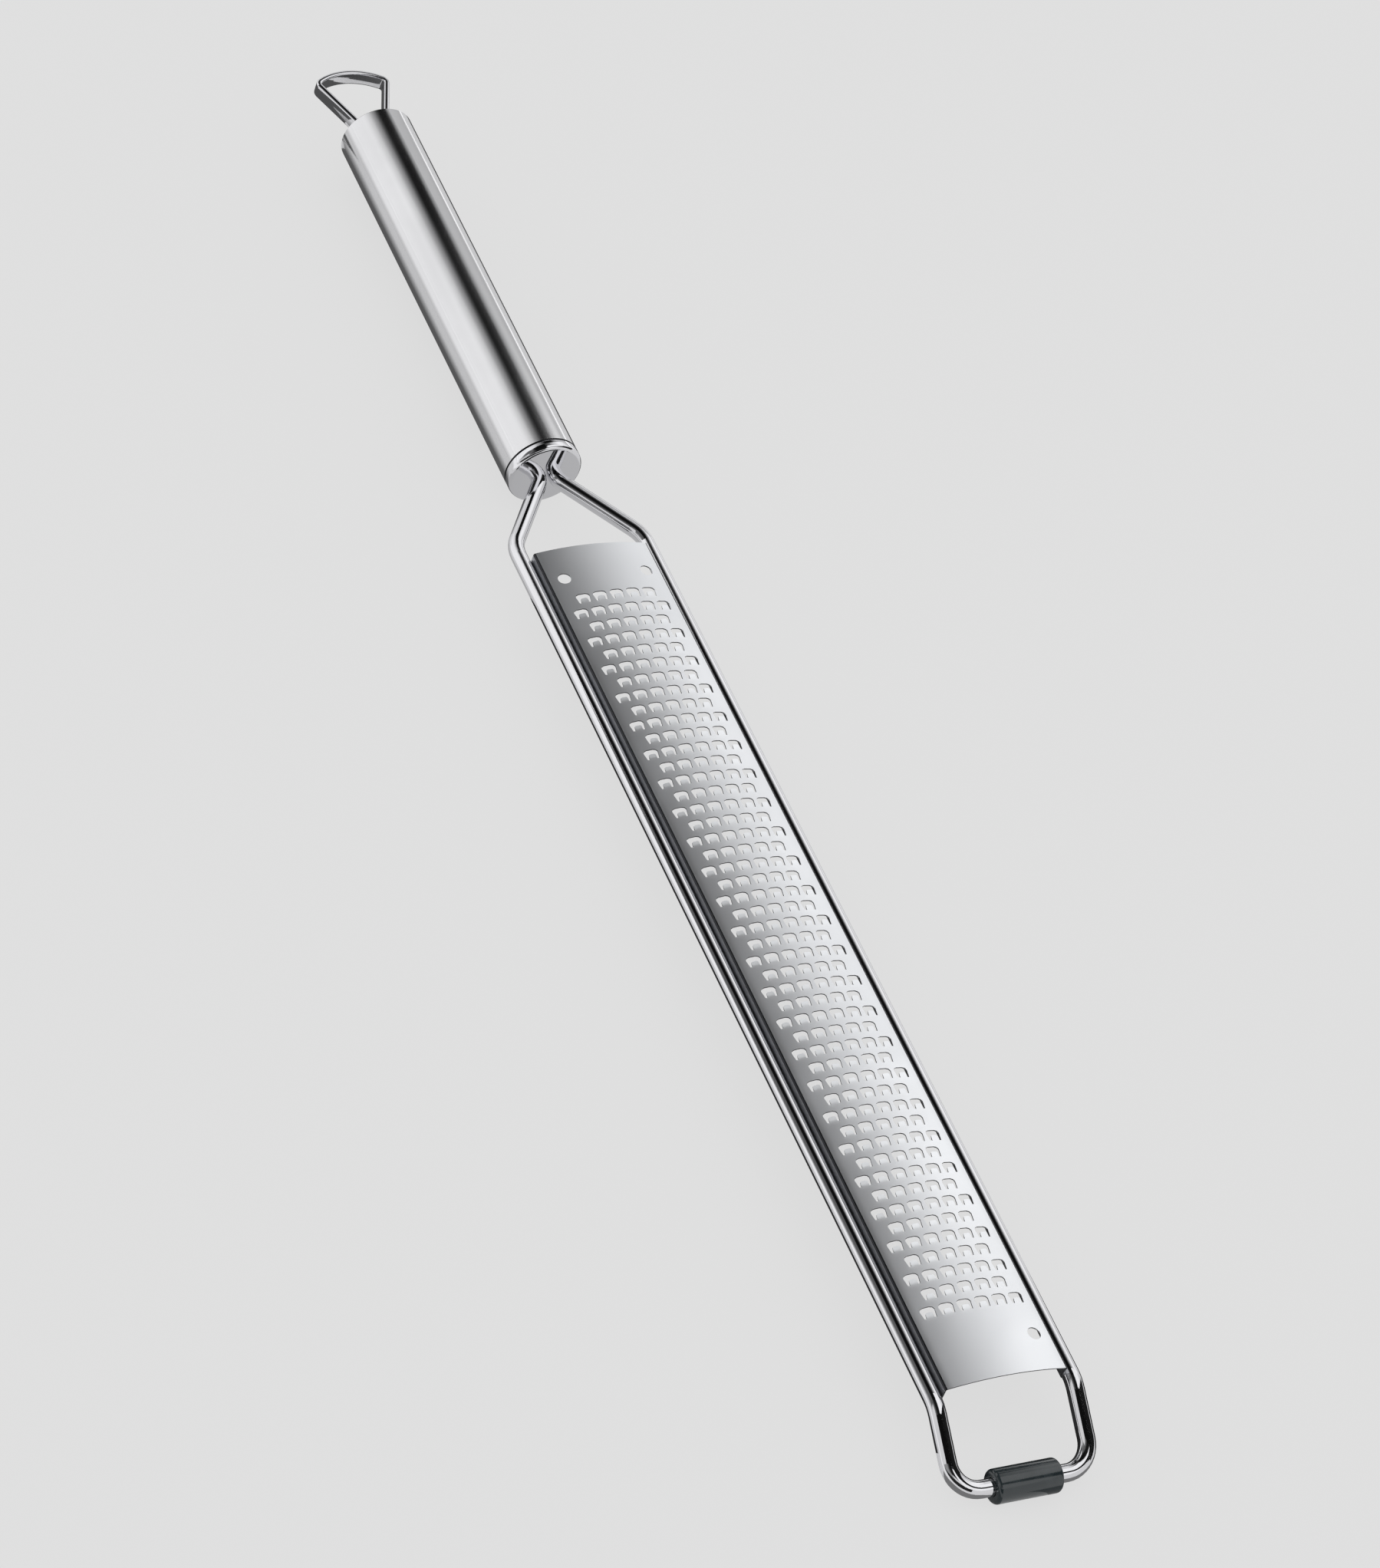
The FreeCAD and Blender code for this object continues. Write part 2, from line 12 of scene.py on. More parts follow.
import bmesh
import bpy
from mathutils import Euler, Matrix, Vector


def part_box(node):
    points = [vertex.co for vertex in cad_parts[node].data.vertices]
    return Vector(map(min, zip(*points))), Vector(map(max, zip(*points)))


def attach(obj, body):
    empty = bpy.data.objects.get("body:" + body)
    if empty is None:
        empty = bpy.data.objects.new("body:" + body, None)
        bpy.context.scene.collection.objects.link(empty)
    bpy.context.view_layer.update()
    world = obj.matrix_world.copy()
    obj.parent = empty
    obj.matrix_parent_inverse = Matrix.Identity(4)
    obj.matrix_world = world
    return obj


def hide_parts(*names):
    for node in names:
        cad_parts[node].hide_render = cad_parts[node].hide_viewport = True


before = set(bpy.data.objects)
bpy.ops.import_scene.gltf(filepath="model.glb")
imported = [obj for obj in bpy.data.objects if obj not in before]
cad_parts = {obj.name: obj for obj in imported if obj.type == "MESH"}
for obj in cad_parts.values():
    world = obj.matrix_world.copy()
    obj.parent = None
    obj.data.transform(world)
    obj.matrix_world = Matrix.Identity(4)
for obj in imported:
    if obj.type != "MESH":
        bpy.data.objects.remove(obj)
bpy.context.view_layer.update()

Colour = tuple[float, float, float]
Place = tuple[float, float]
Rows = tuple[tuple[Place, ...], ...]

LOG = logging.getLogger("zester")
MM = 0.001
# Places in millimetres that are nearer than this are the same.
CLOSE = 1e-6
# Room, in millimetres, for a face that lies beside a line.
SLACK = 1e-3
# Faces that meet at less than this look like one curved surface.
SMOOTH_ANGLE = math.radians(32.0)
# How high the shades lie over the floor, in metres.
UNDER = 0.0004


class Lay(Enum):
    """Which way the lines of a brushed surface run."""

    ALONG = (900.0, 12.0, 900.0)
    POLISHED = (160.0, 160.0, 160.0)


def opaque(colour: Colour) -> tuple[float, float, float, float]:
    """Give a colour the alpha that Blender's sockets ask for."""
    return (*colour, 1.0)


def add_node(tree: bpy.types.NodeTree, kind: str, **settings: object) -> bpy.types.Node:
    """Add a shader node and set its plain properties.

    Args:
        tree: Node tree that takes the node.
        kind: Name of the node after "ShaderNode".
        settings: Properties of the node by name.

    Returns:
        The new node.
    """
    node = tree.nodes.new(f"ShaderNode{kind}")
    for name, value in settings.items():
        setattr(node, name, value)
    return node


def start_group(name: str, inputs: dict[str, str], outputs: dict[str, str]) -> bpy.types.NodeTree:
    """Start a shader node group with named sockets.

    Args:
        name: Name of the group.
        inputs: Socket type after "NodeSocket" for each input.
        outputs: Socket type after "NodeSocket" for each output.

    Returns:
        The group's tree, with its input and output nodes in it.
    """
    group = bpy.data.node_groups.new(name, "ShaderNodeTree")
    for in_out, sockets in (("INPUT", inputs), ("OUTPUT", outputs)):
        for socket, kind in sockets.items():
            group.interface.new_socket(socket, in_out=in_out, socket_type=f"NodeSocket{kind}")
    group.nodes.new("NodeGroupInput")
    group.nodes.new("NodeGroupOutput")
    return group


class Effects:
    """Shader effects that more than one finish uses, each built once."""

    def __init__(self) -> None:
        """Build every group."""
        self.grain = self.build_grain()
        self.handling = self.build_handling()

    def build_grain(self) -> bpy.types.NodeTree:
        """Build fine lines of a brushed or polished surface.

        Returns:
            A group from stretched coordinates to a height with single deeper lines in it.
        """
        inputs = {"Vector": "Vector", "Deep Lines": "Float"}
        group = start_group("metal_grain", inputs, {"Height": "Float"})
        source, sink = group.nodes["Group Input"], group.nodes["Group Output"]
        fine = add_node(group, "TexNoise", noise_dimensions="3D")
        fine.inputs["Scale"].default_value = 1.0
        fine.inputs["Detail"].default_value = 6.0
        fine.inputs["Roughness"].default_value = 0.65
        broad = add_node(group, "TexNoise", noise_dimensions="3D")
        broad.inputs["Scale"].default_value = 0.31
        broad.inputs["Detail"].default_value = 2.0
        threshold = add_node(group, "MapRange", interpolation_type="SMOOTHSTEP")
        threshold.inputs["From Min"].default_value = 0.62
        threshold.inputs["From Max"].default_value = 0.74
        deep = add_node(group, "Math", operation="MULTIPLY")
        height = add_node(group, "Math", operation="SUBTRACT")
        link = group.links.new
        link(source.outputs["Vector"], fine.inputs["Vector"])
        link(source.outputs["Vector"], broad.inputs["Vector"])
        link(broad.outputs["Fac"], threshold.inputs["Value"])
        link(threshold.outputs["Result"], deep.inputs[0])
        link(source.outputs["Deep Lines"], deep.inputs[1])
        link(fine.outputs["Fac"], height.inputs[0])
        link(deep.outputs["Value"], height.inputs[1])
        link(height.outputs["Value"], sink.inputs["Height"])
        return group

    def build_handling(self) -> bpy.types.NodeTree:
        """Build soft patches where hands and cloths have dulled a surface.

        Returns:
            A group from coordinates in metres to a mask from 0, clean, to 1, dulled.
        """
        inputs = {"Vector": "Vector", "Scale": "Float"}
        group = start_group("handling_marks", inputs, {"Mask": "Float"})
        source, sink = group.nodes["Group Input"], group.nodes["Group Output"]
        patches = add_node(group, "TexNoise", noise_dimensions="3D")
        patches.inputs["Detail"].default_value = 3.0
        patches.inputs["Distortion"].default_value = 0.6
        shaped = add_node(group, "MapRange", interpolation_type="SMOOTHSTEP")
        shaped.inputs["From Min"].default_value = 0.38
        shaped.inputs["From Max"].default_value = 0.72
        link = group.links.new
        link(source.outputs["Vector"], patches.inputs["Vector"])
        link(source.outputs["Scale"], patches.inputs["Scale"])
        link(patches.outputs["Fac"], shaped.inputs["Value"])
        link(shaped.outputs["Result"], sink.inputs["Mask"])
        return group


def place_group(tree: bpy.types.NodeTree, group: bpy.types.NodeTree) -> bpy.types.Node:
    """Put a shader group in a material."""
    node = tree.nodes.new("ShaderNodeGroup")
    node.node_tree = group
    return node


@dataclass(frozen=True)
class MetalFinish:
    """Bare stainless steel, from mirror polish to satin."""

    name: str
    clean: Colour
    dulled: Colour
    roughness: float
    dulled_roughness: float
    lay: Lay = Lay.ALONG
    grain_depth: float = 1.5e-6
    deep_lines: float = 0.25
    patch_scale: float = 35.0

    def build(self, effects: Effects) -> bpy.types.Material:
        """Build the material.

        Args:
            effects: The shared shader groups.

        Returns:
            A material that reads the piece's own coordinates.
        """
        material = bpy.data.materials.new(self.name)
        material.use_nodes = True
        tree = material.node_tree
        link = tree.links.new
        steel = tree.nodes["Principled BSDF"]
        steel.inputs["Metallic"].default_value = 1.0
        place = add_node(tree, "TexCoord")
        stretch = add_node(tree, "Mapping")
        stretch.inputs["Scale"].default_value = self.lay.value
        grain = place_group(tree, effects.grain)
        grain.inputs["Deep Lines"].default_value = self.deep_lines
        marks = place_group(tree, effects.handling)
        marks.inputs["Scale"].default_value = self.patch_scale
        tint = add_node(tree, "Mix", data_type="RGBA")
        tint.inputs["A"].default_value = opaque(self.clean)
        tint.inputs["B"].default_value = opaque(self.dulled)
        dulling = add_node(tree, "MapRange")
        dulling.inputs["To Min"].default_value = self.roughness
        dulling.inputs["To Max"].default_value = self.dulled_roughness
        bump = add_node(tree, "Bump")
        bump.inputs["Distance"].default_value = self.grain_depth
        link(place.outputs["Object"], stretch.inputs["Vector"])
        link(stretch.outputs["Vector"], grain.inputs["Vector"])
        link(place.outputs["Object"], marks.inputs["Vector"])
        link(marks.outputs["Mask"], tint.inputs["Factor"])
        link(marks.outputs["Mask"], dulling.inputs["Value"])
        link(grain.outputs["Height"], bump.inputs["Height"])
        link(tint.outputs["Result"], steel.inputs["Base Color"])
        link(dulling.outputs["Result"], steel.inputs["Roughness"])
        link(bump.outputs["Normal"], steel.inputs["Normal"])
        return material


@dataclass(frozen=True)
class SleeveFinish:
    """Smooth dark sleeve with a soft gloss and a trace of dust."""

    name: str = "sleeve_rubber_gloss"
    colour: Colour = (0.014, 0.021, 0.024)
    dusty: Colour = (0.024, 0.032, 0.036)
    roughness: float = 0.16
    dusty_roughness: float = 0.24
    coat: float = 0.6
    coat_roughness: float = 0.1
    patch_scale: float = 260.0
    skin_scale: float = 2600.0
    skin_depth: float = 4e-6

    def build(self, effects: Effects) -> bpy.types.Material:
        """Build the material.

        Args:
            effects: The shared shader groups.

        Returns:
            A material that reads the piece's own coordinates.
        """
        material = bpy.data.materials.new(self.name)
        material.use_nodes = True
        tree = material.node_tree
        link = tree.links.new
        rubber = tree.nodes["Principled BSDF"]
        rubber.inputs["Coat Weight"].default_value = self.coat
        rubber.inputs["Coat Roughness"].default_value = self.coat_roughness
        place = add_node(tree, "TexCoord")
        marks = place_group(tree, effects.handling)
        marks.inputs["Scale"].default_value = self.patch_scale
        tint = add_node(tree, "Mix", data_type="RGBA")
        tint.inputs["A"].default_value = opaque(self.colour)
        tint.inputs["B"].default_value = opaque(self.dusty)
        dulling = add_node(tree, "MapRange")
        dulling.inputs["To Min"].default_value = self.roughness
        dulling.inputs["To Max"].default_value = self.dusty_roughness
        skin = add_node(tree, "TexNoise")
        skin.inputs["Scale"].default_value = self.skin_scale
        skin.inputs["Detail"].default_value = 3.0
        bump = add_node(tree, "Bump")
        bump.inputs["Distance"].default_value = self.skin_depth
        link(place.outputs["Object"], marks.inputs["Vector"])
        link(place.outputs["Object"], skin.inputs["Vector"])
        link(marks.outputs["Mask"], tint.inputs["Factor"])
        link(marks.outputs["Mask"], dulling.inputs["Value"])
        link(skin.outputs["Fac"], bump.inputs["Height"])
        link(tint.outputs["Result"], rubber.inputs["Base Color"])
        link(dulling.outputs["Result"], rubber.inputs["Roughness"])
        link(bump.outputs["Normal"], rubber.inputs["Normal"])
        return material


def dress(piece: bpy.types.Object, material: bpy.types.Material) -> None:
    """Give a piece one material all over."""
    piece.data.materials.clear()
    piece.data.materials.append(material)


def finish_mesh(
    name: str, bm: bmesh.types.BMesh, finishes: tuple[bpy.types.Material, ...]
) -> bpy.types.Object:
    """Turn a mesh built in millimetres into a piece of the zester.

    Args:
        name: Name of the piece.
        bm: The mesh, in the row's frame, in millimetres. It is freed here.
        finishes: The finishes that the mesh's faces name by their index.

    Returns:
        The piece, riding on the body.
    """
    bmesh.ops.scale(bm, vec=(MM, MM, MM), verts=bm.verts)
    mesh = bpy.data.meshes.new(name)
    for finish in finishes:
        mesh.materials.append(finish)
    bm.to_mesh(mesh)
    bm.free()
    mesh.polygons.foreach_set("use_smooth", [True] * len(mesh.polygons))
    mesh.set_sharp_from_angle(angle=SMOOTH_ANGLE)
    piece = bpy.data.objects.new(name, mesh)
    bpy.context.scene.collection.objects.link(piece)
    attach(piece, "root")
    return piece


def round_corners(corners: list[tuple[float, float, float]], steps: int = 6) -> list[Vector]:
    """Round the corners of a line.

    Args:
        corners: Place and radius of each corner; a radius of 0 keeps it sharp.
        steps: Number of straight runs in each rounding.

    Returns:
        The places along the rounded line.
    """
    line = []
    places = [Vector((x, y)) for x, y, _ in corners]
    for index, (place, (_, _, radius)) in enumerate(zip(places, corners)):
        if not radius:
            line.append(place)
            continue
        back = (places[index - 1] - place).normalized()
        ahead = (places[(index + 1) % len(places)] - place).normalized()
        half = back.angle(ahead) / 2
        centre = place + (back + ahead).normalized() * radius / math.sin(half)
        start = place + back * radius / math.tan(half) - centre
        end = place + ahead * radius / math.tan(half) - centre
        turn = start.angle_signed(end)
        for step in range(steps + 1):
            angle = -turn * step / steps
            line.append(
                centre
                + Vector(
                    (
                        start.x * math.cos(angle) - start.y * math.sin(angle),
                        start.x * math.sin(angle) + start.y * math.cos(angle),
                    )
                )
            )
    return line


def turn_section(section: list[Vector], axis: Vector, steps: int = 72) -> bmesh.types.BMesh:
    """Turn a closed section around an axis.

    Args:
        section: Places of the outline, as radius and distance along the axis.
        axis: Direction of the axis, X or Y.
        steps: Number of faces round the piece.

    Returns:
        The closed mesh, around the origin.
    """
    bm = bmesh.new()
    verts = [bm.verts.new(Vector((0.0, 0.0, place.x)) + axis * place.y) for place in section]
    edges = [bm.edges.new(pair) for pair in zip(verts, verts[1:] + verts[:1])]
    on_axis = [edge for edge in edges if all(vert.co.z < CLOSE for vert in edge.verts)]
    bmesh.ops.delete(bm, geom=on_axis, context="EDGES_FACES")
    bmesh.ops.spin(
        bm,
        geom=bm.verts[:] + bm.edges[:],
        cent=(0, 0, 0),
        axis=axis,
        angle=math.tau,
        steps=steps,
        use_merge=True,
    )
    bmesh.ops.remove_doubles(bm, verts=bm.verts, dist=10 * CLOSE)
    bmesh.ops.recalc_face_normals(bm, faces=bm.faces)
    return bm


@dataclass
class FrontCap:
    """Polished plug with a rounded collar and a groove against the tube, darkened inside as painted
    shade: in millimetres.
    """

    collar_length: float = 2.6
    rounding: float = 1.15
    rear_rounding: float = 0.12
    groove_width: float = 0.5
    groove_depth: float = 0.4
    groove_edge: float = 0.1
    tube_wall: float = 1.0
    plug_depth: float = 14.0
    seam: float = 0.02

    def build(self, material: bpy.types.Material, joint: bpy.types.Material) -> bpy.types.Object:
        """Build the cap in place of its plain solid.

        Args:
            material: The finish of the cap.
            joint: The dark finish inside the groove, painted shade in it.

        Returns:
            The finished piece.
        """
        low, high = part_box("front_end_cap")
        radius = (high.x - low.x) / 2 / MM
        floor, tube_start = radius - self.groove_depth, self.collar_length + self.groove_width
        plug = radius - self.tube_wall - self.seam
        section = round_corners(
            [
                (0.0, 0.0, 0.0),
                (radius, 0.0, self.rounding),
                (radius, self.collar_length, self.rear_rounding),
                (floor, self.collar_length, 0.0),
                (floor, tube_start, 0.0),
                (plug, tube_start, 0.0),
                (plug, tube_start + self.plug_depth, 0.0),
                (0.0, tube_start + self.plug_depth, 0.0),
            ]
        )
        bm = turn_section(section, Vector((0.0, 1.0, 0.0)))
        # Faces deep in the groove take the dark finish: painted shade.
        for face in bm.faces:
            place = face.calc_center_median()
            depth = radius - Vector((place.x, place.z)).length
            beside_tube = self.collar_length - SLACK < place.y < tube_start + SLACK
            face.material_index = int(beside_tube and depth > self.groove_edge)
        middle = (low + high) / 2 / MM
        bmesh.ops.translate(bm, vec=(middle.x, low.y / MM, middle.z), verts=bm.verts)
        piece = finish_mesh("rounded_front_cap", bm, (material, joint))
        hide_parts("front_end_cap")
        return piece


@dataclass
class FootSleeve:
    """Dark sleeve with soft ends: sizes in millimetres."""

    bore: float = 2.05
    rounding: float = 0.85
    bore_rounding: float = 0.2
    faces_round: int = 56

    def build(self, material: bpy.types.Material) -> bpy.types.Object:
        """Build the sleeve in place of its plain solid.

        Args:
            material: The finish of the sleeve.

        Returns:
            The finished piece.
        """
        low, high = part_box("foot_sleeve")
        radius, half = (high.z - low.z) / 2 / MM, (high.x - low.x) / 2 / MM
        section = round_corners(
            [
                (self.bore, -half, self.bore_rounding),
                (radius, -half, self.rounding),
                (radius, half, self.rounding),
                (self.bore, half, self.bore_rounding),
            ]
        )
        bm = turn_section(section, Vector((1.0, 0.0, 0.0)), self.faces_round)
        bmesh.ops.translate(bm, vec=(low + high) / 2 / MM, verts=bm.verts)
        piece = finish_mesh("rounded_foot_sleeve", bm, (material,))
        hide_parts("foot_sleeve")
        return piece


@dataclass
class HangingLoop:
    """Fan-shaped eye of flat strip with rubbed-down edges: sizes in millimetres."""

    strip_width: float = 3.8
    strip_thickness: float = 1.45
    edge_rounding: float = 0.5
    inner_flat: float = 0.4
    leg_offset: float = 2.3
    leg_angle: float = 20.7
    reach: float = 23.0
    top_radius: float = 16.2
    corner_radius: float = 2.4
    root_radius: float = 2.0
    recess: float = 0.8
    edge_steps: int = 4
    corner_steps: int = 8
    arch_steps: int = 12

    def right_side(self, rim: float, slot_end: float) -> list[Vector]:
        """Follow the middle of the strip from its slot to the top of the arch.

        Args:
            rim: Rim of the tube, along the grip.
            slot_end: End of the strip in the cap.

        Returns:
            Places on the right half of the loop.
        """
        half = self.strip_thickness / 2
        top_radius, corner_radius = self.top_radius - half, self.corner_radius - half
        top_centre = Vector((0.0, rim + self.reach - self.top_radius))
        angle = math.radians(self.leg_angle)
        root_reach = (self.root_radius - half) * math.tan(angle / 2)
        root = Vector((self.leg_offset, rim - self.recess + root_reach))
        along_leg = Vector((math.sin(angle), math.cos(angle)))
        into_loop = Vector((-along_leg.y, along_leg.x))
        track = root + into_loop * corner_radius
        towards_top = top_centre - track
        nearest = towards_top.dot(along_leg)
        miss = (towards_top - along_leg * nearest).length
        further = math.sqrt((top_radius - corner_radius) ** 2 - miss**2)
        corner = track + along_leg * (nearest + further)
        leg_end = corner - into_loop * corner_radius
        line = round_corners(
            [
                (root.x, slot_end, 0.0),
                (root.x, root.y, self.root_radius - half),
                (leg_end.x, leg_end.y, 0.0),
            ]
        )[:-1]
        outwards = (corner - top_centre).normalized()
        first = math.atan2(-into_loop.y, -into_loop.x)
        last = math.atan2(outwards.y, outwards.x)
        for step in range(self.corner_steps + 1):
            turn = first + (last - first) * step / self.corner_steps
            line.append(corner + Vector((math.cos(turn), math.sin(turn))) * corner_radius)
        for step in range(1, self.arch_steps + 1):
            turn = last + (math.pi / 2 - last) * step / self.arch_steps
            line.append(top_centre + Vector((math.cos(turn), math.sin(turn))) * top_radius)
        return line

    def build(self, material: bpy.types.Material) -> bpy.types.Object:
        """Build the loop in place of its plain solid.

        Args:
            material: The finish of the loop.

        Returns:
            The finished piece.
        """
        low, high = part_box("hanging_loop")
        rim, height = high.y / MM - self.reach, (low.z + high.z) / 2 / MM
        right = self.right_side(rim, low.y / MM)
        line = right + [Vector((-place.x, place.y)) for place in reversed(right[:-1])]
        half, side, soft = self.strip_thickness / 2, self.strip_width / 2, self.edge_rounding
        outline = round_corners(
            [
                (-half, 0.0, 0.0),
                (-half, -side, soft),
                (half, -side, soft),
                (half, side, soft),
                (-half, side, soft),
                (-half, self.inner_flat, 0.0),
            ],
            self.edge_steps,
        )
        bm = bmesh.new()
        rows = []
        for index, place in enumerate(line):
            ahead = (line[min(index + 1, len(line) - 1)] - line[max(index - 1, 0)]).normalized()
            outward = Vector((ahead.y, -ahead.x))
            row = [(*(place + outward * point.x), height + point.y) for point in outline]
            rows.append([bm.verts.new(corner) for corner in row])
        for near, far in zip(rows, rows[1:]):
            for index in range(len(near)):
                bm.faces.new((near[index - 1], near[index], far[index], far[index - 1]))
        bm.faces.new(rows[0])
        bm.faces.new(rows[-1])
        bmesh.ops.recalc_face_normals(bm, faces=bm.faces)
        piece = finish_mesh("rounded_hanging_loop", bm, (material,))
        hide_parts("hanging_loop")
        return piece


@dataclass
class GratingBlade:
    """Crowned sheet, punched flat, then bent: sizes in millimetres.

    The arch of an opening is given in shares of its half width and length, and the steps of a
    tooth in shares of its length, rise and width.
    """

    length: float = 246.0
    width: float = 30.0
    thickness: float = 0.3
    edge_height: float = 3.2
    crown: float = 1.6
    flange_reach: float = 0.5
    bend_radius: float = 0.55
    bend_steps: int = 5
    hole_radius: float = 1.6
    hole_inset: float = 9.4
    tooth_pitch: float = 4.33
    row_pitch: float = 4.48
    tooth_inset: float = 17.8
    wide_row: int = 6
    row_margin: float = 0.85
    opening_root: float = 2.9
    opening_width: float = 3.5
    opening_length: float = 2.85
    tooth_width: float = 1.8
    tooth_length: float = 1.3
    tooth_rise: float = 0.18
    tooth_edge: float = 0.16
    hole_segments: int = 28
    arch: tuple[tuple[float, float], ...] = ((1.0, 0.72), (0.83, 0.91), (0.46, 1.0))
    tooth_steps: tuple[tuple[float, float, float], ...] = (
        (0.45, 0.4, 1.0),
        (0.86, 0.85, 0.92),
        (1.0, 1.0, 0.6),
    )

    def __post_init__(self) -> None:
        """Work out the circle of the crown and where the side bends start."""
        half = self.width / 2
        self.radius = (half**2 + self.crown**2) / (2 * self.crown)
        self.centre = self.edge_height + self.crown - self.radius
        reach, inner = half - self.bend_radius, self.radius - self.bend_radius
        self.bend_angle = math.asin(reach / inner)
        self.bend_height = self.centre + math.sqrt(inner**2 - reach**2)
        self.bend_start = self.radius * math.sin(self.bend_angle)
        self.bend_end = self.bend_start + self.bend_radius * (math.pi / 2 - self.bend_angle)
        toothed = self.length - 2 * self.tooth_inset
        self.rows = 2 * round((toothed / self.row_pitch + 1) / 2)

    def columns(self) -> list[float]:
        """List the lines along the flat sheet, from the left flange's foot to the right one's."""
        right = [side * self.tooth_pitch / 2 for side in range(1, self.wide_row + 1)]
        right += [
            self.bend_start + (self.bend_end - self.bend_start) * step / self.bend_steps
            for step in range(self.bend_steps + 1)
        ]
        right.append(self.bend_end + self.bend_height + self.flange_reach)
        return [-place for place in reversed(right)] + [0.0] + right

    def root_of(self, row: int) -> float:
        """Tell how far along the sheet the teeth of a row have their roots."""
        return -self.tooth_inset - row * self.row_pitch

    def teeth_in(self, row: int) -> int:
        """Tell how many teeth a row has; rows of five and of six take turns."""
        return self.wide_row - 1 + row % 2

    def holes(self) -> list[tuple[float, float]]:
        """List the middles of the round holes on the flat sheet."""
        across = self.tooth_pitch * (self.wide_row - 1) / 2
        near, far = -self.hole_inset, self.hole_inset - self.length
        return [(-across, near), (across, near), (across, far)]

    def lines(self) -> list[float]:
        """List the lines across the flat sheet, from the grip's end to the foot's."""
        reach = self.tooth_pitch / 2
        places = [0.0, -self.length]
        for middle in (-self.hole_inset, self.hole_inset - self.length):
            places += [middle + reach, middle - reach]
        top = self.root_of(0) + self.row_pitch - self.row_margin
        places += [top - row * self.row_pitch for row in range(self.rows + 1)]
        return sorted(places, reverse=True)

    def start_sheet(self) -> bmesh.types.BMesh:
        """Make the flat sheet with the cells of teeth and round holes left out."""
        columns, lines = self.columns(), self.lines()
        across, along = len(columns) - 1, len(lines) - 1
        bm = bmesh.new()
        bmesh.ops.create_grid(bm, x_segments=across, y_segments=along, size=1.0)
        for vert in bm.verts:
            column = round((vert.co.x + 1) / 2 * across)
            line = round((1 - vert.co.y) / 2 * along)
            vert.co = (columns[column], lines[line], 0.0)
        cells = [face for face in bm.faces if self.in_cell(face.calc_center_median())]
        bmesh.ops.delete(bm, geom=cells, context="FACES")
        return bm

    def in_cell(self, place: Vector) -> bool:
        """Tell whether a place on the flat sheet is in the cell of a tooth or of a round hole."""
        reach = self.tooth_pitch / 2
        if any(abs(place.x - x) < reach and abs(place.y - y) < reach for x, y in self.holes()):
            return True
        top = self.root_of(0) + self.row_pitch - self.row_margin
        row = math.floor((top - place.y) / self.row_pitch)
        return 0 <= row < self.rows and abs(place.x) < self.teeth_in(row) * reach

    def fill_cell(self, bm: bmesh.types.BMesh, low: float, high: float, loop: list[Vector]) -> list:
        """Fill one cell of the sheet around an opening.

        Args:
            bm: Mesh that takes the cell, around the origin.
            low: Lower line of the cell.
            high: Upper line of the cell.
            loop: Outline of the opening.

        Returns:
            The cell's vertices, edges and faces.
        """
        reach = self.tooth_pitch / 2
        rim = [(-reach, low), (0.0, low), (reach, low), (reach, high), (0.0, high), (-reach, high)]
        edges = []
        for outline in ([Vector((x, y, 0.0)) for x, y in rim], loop):
            verts = [bm.verts.new(place) for place in outline]
            edges += [bm.edges.new(pair) for pair in zip(verts, verts[1:] + verts[:1])]
        filled = bmesh.ops.triangle_fill(bm, use_beauty=True, use_dissolve=False, edges=edges)
        faces = [item for item in filled["geom"] if isinstance(item, bmesh.types.BMFace)]
        return list({vert for edge in edges for vert in edge.verts}) + edges + faces

    def tooth_outline(self) -> list[Vector]:
        """Draw the arched opening around a tooth, from the left of its root and back."""
        wide, tall, half = self.opening_width / 2, self.opening_length, self.tooth_width / 2
        side = [(self.opening_root / 2, 0.0)] + [(x * wide, y * tall) for x, y in self.arch]
        outline = [(-x, y) for x, y in side] + side[::-1] + [(half, 0.0), (-half, 0.0)]
        return [Vector((x, y, 0.0)) for x, y in outline]

    def make_tooth_cell(self, bm: bmesh.types.BMesh) -> list:
        """Make a cell with an opening and a tongue that rises from the opening's root.

        Args:
            bm: Mesh that takes the cell, around the origin.

        Returns:
            The cell's vertices, edges and faces.
        """
        low, high = -self.row_margin, self.row_pitch - self.row_margin
        geometry = self.fill_cell(bm, low, high, self.tooth_outline())
        half = self.tooth_width / 2
        edge = next(
            item
            for item in geometry
            if isinstance(item, bmesh.types.BMEdge)
            and all(abs(abs(vert.co.x) - half) + abs(vert.co.y) < CLOSE for vert in item.verts)
        )
        for share, lift, narrowing in self.tooth_steps:
            grown = bmesh.ops.extrude_edge_only(bm, edges=[edge])["geom"]
            verts = [item for item in grown if isinstance(item, bmesh.types.BMVert)]
            for vert in verts:
                side = math.copysign(half * narrowing, vert.co.x)
                vert.co = (side, share * self.tooth_length, lift * self.tooth_rise)
            geometry += grown
            edge = next(
                item
                for item in grown
                if isinstance(item, bmesh.types.BMEdge) and set(item.verts) == set(verts)
            )
        return geometry

